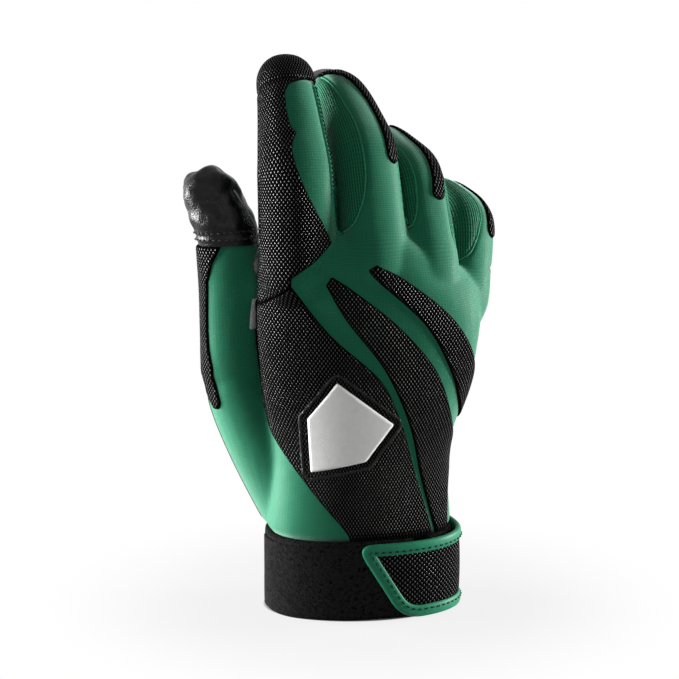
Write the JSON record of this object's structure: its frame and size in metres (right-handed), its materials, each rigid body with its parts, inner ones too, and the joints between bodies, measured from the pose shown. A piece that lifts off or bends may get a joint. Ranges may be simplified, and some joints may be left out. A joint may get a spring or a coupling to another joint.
{
  "type": "batting glove",
  "caption": "Right-hand batting glove with knit back, leather palm, mesh-sided curled fingers, capped thumb and a hook-and-loop wrist strap; stands on its cuff.",
  "frame": {"origin": "centre of the glove's footprint, on the plane that the cuff's rim stands on", "axes": "+X towards the little-finger side, +Y towards the palm side (the back of the hand faces -Y), +Z from the cuff to the fingertips"},
  "size_m": [0.116, 0.0888, 0.2088],
  "materials": {
    "green_knit": "dark green stretch knit with a soft sheen and fine cross lines",
    "green_mesh": "darker green ribbed stretch mesh",
    "green_binding": "green coated binding, satin, stitched",
    "black_weave": "black woven synthetic with small bright glints",
    "black_leather": "black goatskin, satin, fine grain",
    "black_loop": "black brushed loop, matte",
    "white_thread": "white satin-stitch embroidery"
  },
  "bodies": {
    "hand": {"back_panel": "green_knit", "palm_panel": "black_leather", "thumb_gusset": "green_knit", "main_back_overlay": "black_weave", "inner_stripe_overlay": "black_weave", "outer_stripe_overlay": "black_weave", "index_hand_overlay": "black_weave", "badge_patch": "white_thread", "cuff_band": "black_loop", "cuff_loop_patch": "black_loop"},
    "strap": {"strap_panel": "black_weave", "strap_binding": "green_binding", "strap_hook_patch": "black_loop"},
    "index_lower": {"index_lower_back": "green_knit", "index_lower_palm": "black_leather", "index_side_panel": "black_weave", "index_fourchette": "green_mesh"},
    "index_upper": {"index_upper_back": "green_knit", "index_upper_palm": "black_leather", "index_tip_cap": "black_weave"},
    "middle_lower": {"middle_lower_back": "green_knit", "middle_lower_palm": "black_leather", "middle_inner_fourchette": "green_mesh", "middle_outer_fourchette": "green_mesh"},
    "middle_upper": {"middle_upper_back": "green_knit", "middle_upper_palm": "black_leather", "middle_tip_cap": "black_leather", "middle_edge_overlay": "black_weave"},
    "ring_lower": {"ring_lower_back": "green_knit", "ring_lower_palm": "black_leather", "ring_inner_fourchette": "green_mesh", "ring_outer_fourchette": "green_mesh"},
    "ring_upper": {"ring_upper_back": "green_knit", "ring_upper_palm": "black_leather", "ring_tip_cap": "black_leather", "ring_edge_overlay": "black_weave"},
    "pinky_lower": {"pinky_lower_back": "green_knit", "pinky_lower_palm": "black_leather", "pinky_inner_fourchette": "green_mesh", "pinky_side_panel": "green_knit"},
    "pinky_upper": {"pinky_upper_back": "green_knit", "pinky_upper_palm": "black_leather", "pinky_tip_cap": "black_leather", "pinky_edge_overlay": "black_weave"},
    "thumb_lower": {"thumb_back_panel": "green_knit", "thumb_palm_panel": "black_leather", "thumb_outer_strip": "black_weave", "thumb_web_strip": "black_leather"},
    "thumb_upper": {"thumb_tip_cap": "black_leather"}
  },
  "joints": [
    {"name": "index_knuckle", "type": "hinge", "parent": "hand", "child": "index_lower", "pos_m": [-0.02264, -0.0041, 0.14726], "axis": [-0.9986, -0.0523, 0.0087], "range_deg": [-8, 45], "deforming": ["index_side_panel", "index_fourchette"]},
    {"name": "index_middle", "type": "hinge", "parent": "index_lower", "child": "index_upper", "pos_m": [-0.02254, -0.00294, 0.16578], "axis": [-0.9986, -0.0523, 0.0087], "range_deg": [-18, 45]},
    {"name": "middle_knuckle", "type": "hinge", "parent": "hand", "child": "middle_lower", "pos_m": [0.00437, -0.00451, 0.14703], "axis": [-0.9685, -0.2415, 0.061], "range_deg": [-16, 45], "deforming": ["middle_inner_fourchette", "middle_outer_fourchette"]},
    {"name": "middle_middle", "type": "hinge", "parent": "middle_lower", "child": "middle_upper", "pos_m": [0.00398, 0.00232, 0.16783], "axis": [-0.9685, -0.2415, 0.061], "range_deg": [-28, 40]},
    {"name": "ring_knuckle", "type": "hinge", "parent": "hand", "child": "ring_lower", "pos_m": [0.02543, -0.00074, 0.14244], "axis": [-0.9305, -0.3387, 0.1392], "range_deg": [-18, 40], "deforming": ["ring_inner_fourchette", "ring_outer_fourchette"]},
    {"name": "ring_middle", "type": "hinge", "parent": "ring_lower", "child": "ring_upper", "pos_m": [0.02525, 0.00517, 0.1556], "axis": [-0.9305, -0.3387, 0.1392], "range_deg": [-40, 30]},
    {"name": "pinky_knuckle", "type": "hinge", "parent": "hand", "child": "pinky_lower", "pos_m": [0.04274, 0.00533, 0.1295], "axis": [-0.8901, -0.3963, 0.225], "range_deg": [-18, 40], "deforming": ["pinky_inner_fourchette", "pinky_side_panel"]},
    {"name": "pinky_middle", "type": "hinge", "parent": "pinky_lower", "child": "pinky_upper", "pos_m": [0.04336, 0.00893, 0.13829], "axis": [-0.8901, -0.3963, 0.225], "range_deg": [-40, 28]},
    {"name": "thumb_base", "type": "hinge", "parent": "hand", "child": "thumb_lower", "pos_m": [-0.04173, 0.01387, 0.10505], "axis": [-0.9921, 0.1043, -0.0698], "range_deg": [-10, 20], "deforming": ["thumb_outer_strip", "thumb_web_strip"]},
    {"name": "thumb_tip", "type": "hinge", "parent": "thumb_lower", "child": "thumb_upper", "pos_m": [-0.04385, 0.01403, 0.13534], "axis": [-0.9921, 0.1043, -0.0698], "range_deg": [-6, 35]},
    {"name": "strap_peel", "type": "hinge", "parent": "hand", "child": "strap", "pos_m": [0.04081, -0.01202, 0.015], "axis": [0, 0, 1], "range_deg": [0, 110]}
  ]
}
